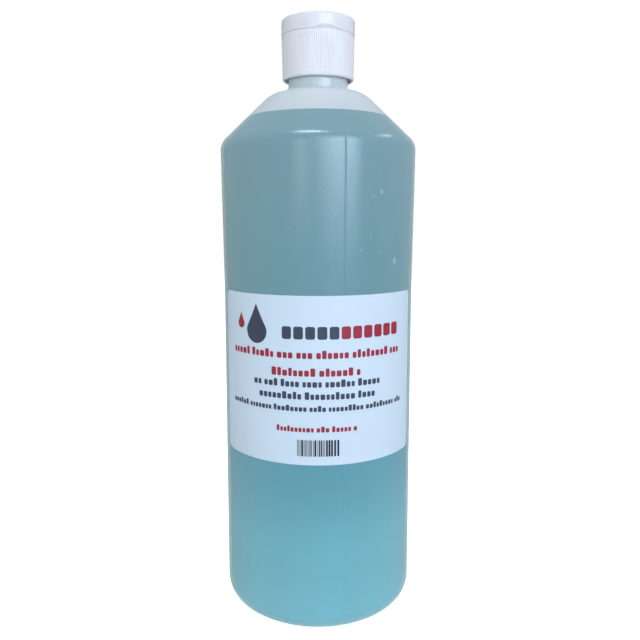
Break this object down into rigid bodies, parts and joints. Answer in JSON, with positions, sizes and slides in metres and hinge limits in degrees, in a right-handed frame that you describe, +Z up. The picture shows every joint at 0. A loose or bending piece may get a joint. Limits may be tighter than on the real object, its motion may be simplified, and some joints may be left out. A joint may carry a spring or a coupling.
{
  "type": "sealing solution bottle",
  "caption": "Round translucent plastic bottle of teal sealing solution, with a cone shoulder, a wrapped front label and a white ribbed screw cap whose flip lid opens on a living hinge.",
  "frame": {"origin": "centre of the base, on the surface that the bottle stands on", "axes": "+Z up along the bottle's axis, the front label faces -Y, and the cap's thumb recess is turned 13 degrees from -Y towards +X"},
  "size_m": [0.0834, 0.0834, 0.2514],
  "materials": {
    "natural_polyethylene": "satin",
    "teal_solution": "gloss",
    "label_film": "satin",
    "foam": "matte",
    "white_polypropylene": "gloss"
  },
  "bodies": {
    "bottle": {"bottle": "natural_polyethylene", "sealing_solution": "teal_solution", "front_label": "label_film"},
    "liner": {"liner": "foam"},
    "cap": {"cap_base": "white_polypropylene", "hinge_web_left": "white_polypropylene", "hinge_web_right": "white_polypropylene", "snap_strap": "white_polypropylene"},
    "lid": {"flip_lid": "white_polypropylene"}
  },
  "joints": [
    {"name": "cap_rise", "type": "slide", "parent": "bottle", "child": "liner", "axis": [0, 0, 1], "range_m": [0, 0.00636]},
    {"name": "cap_turn", "type": "hinge", "parent": "liner", "child": "cap", "pos_m": [0, 0, 0.2355], "axis": [0, 0, 1], "range_deg": [0, 540]},
    {"name": "lid_flip", "type": "hinge", "parent": "cap", "child": "lid", "pos_m": [-0.00366, 0.01583, 0.2448], "axis": [-0.9744, -0.225, 0], "range_deg": [0, 180], "deforming": ["hinge_web_left", "hinge_web_right", "snap_strap"]}
  ],
  "couplings": [
    {"joint": "cap_rise", "follows": "cap_turn", "m_per_rad": 0.00067376}
  ]
}
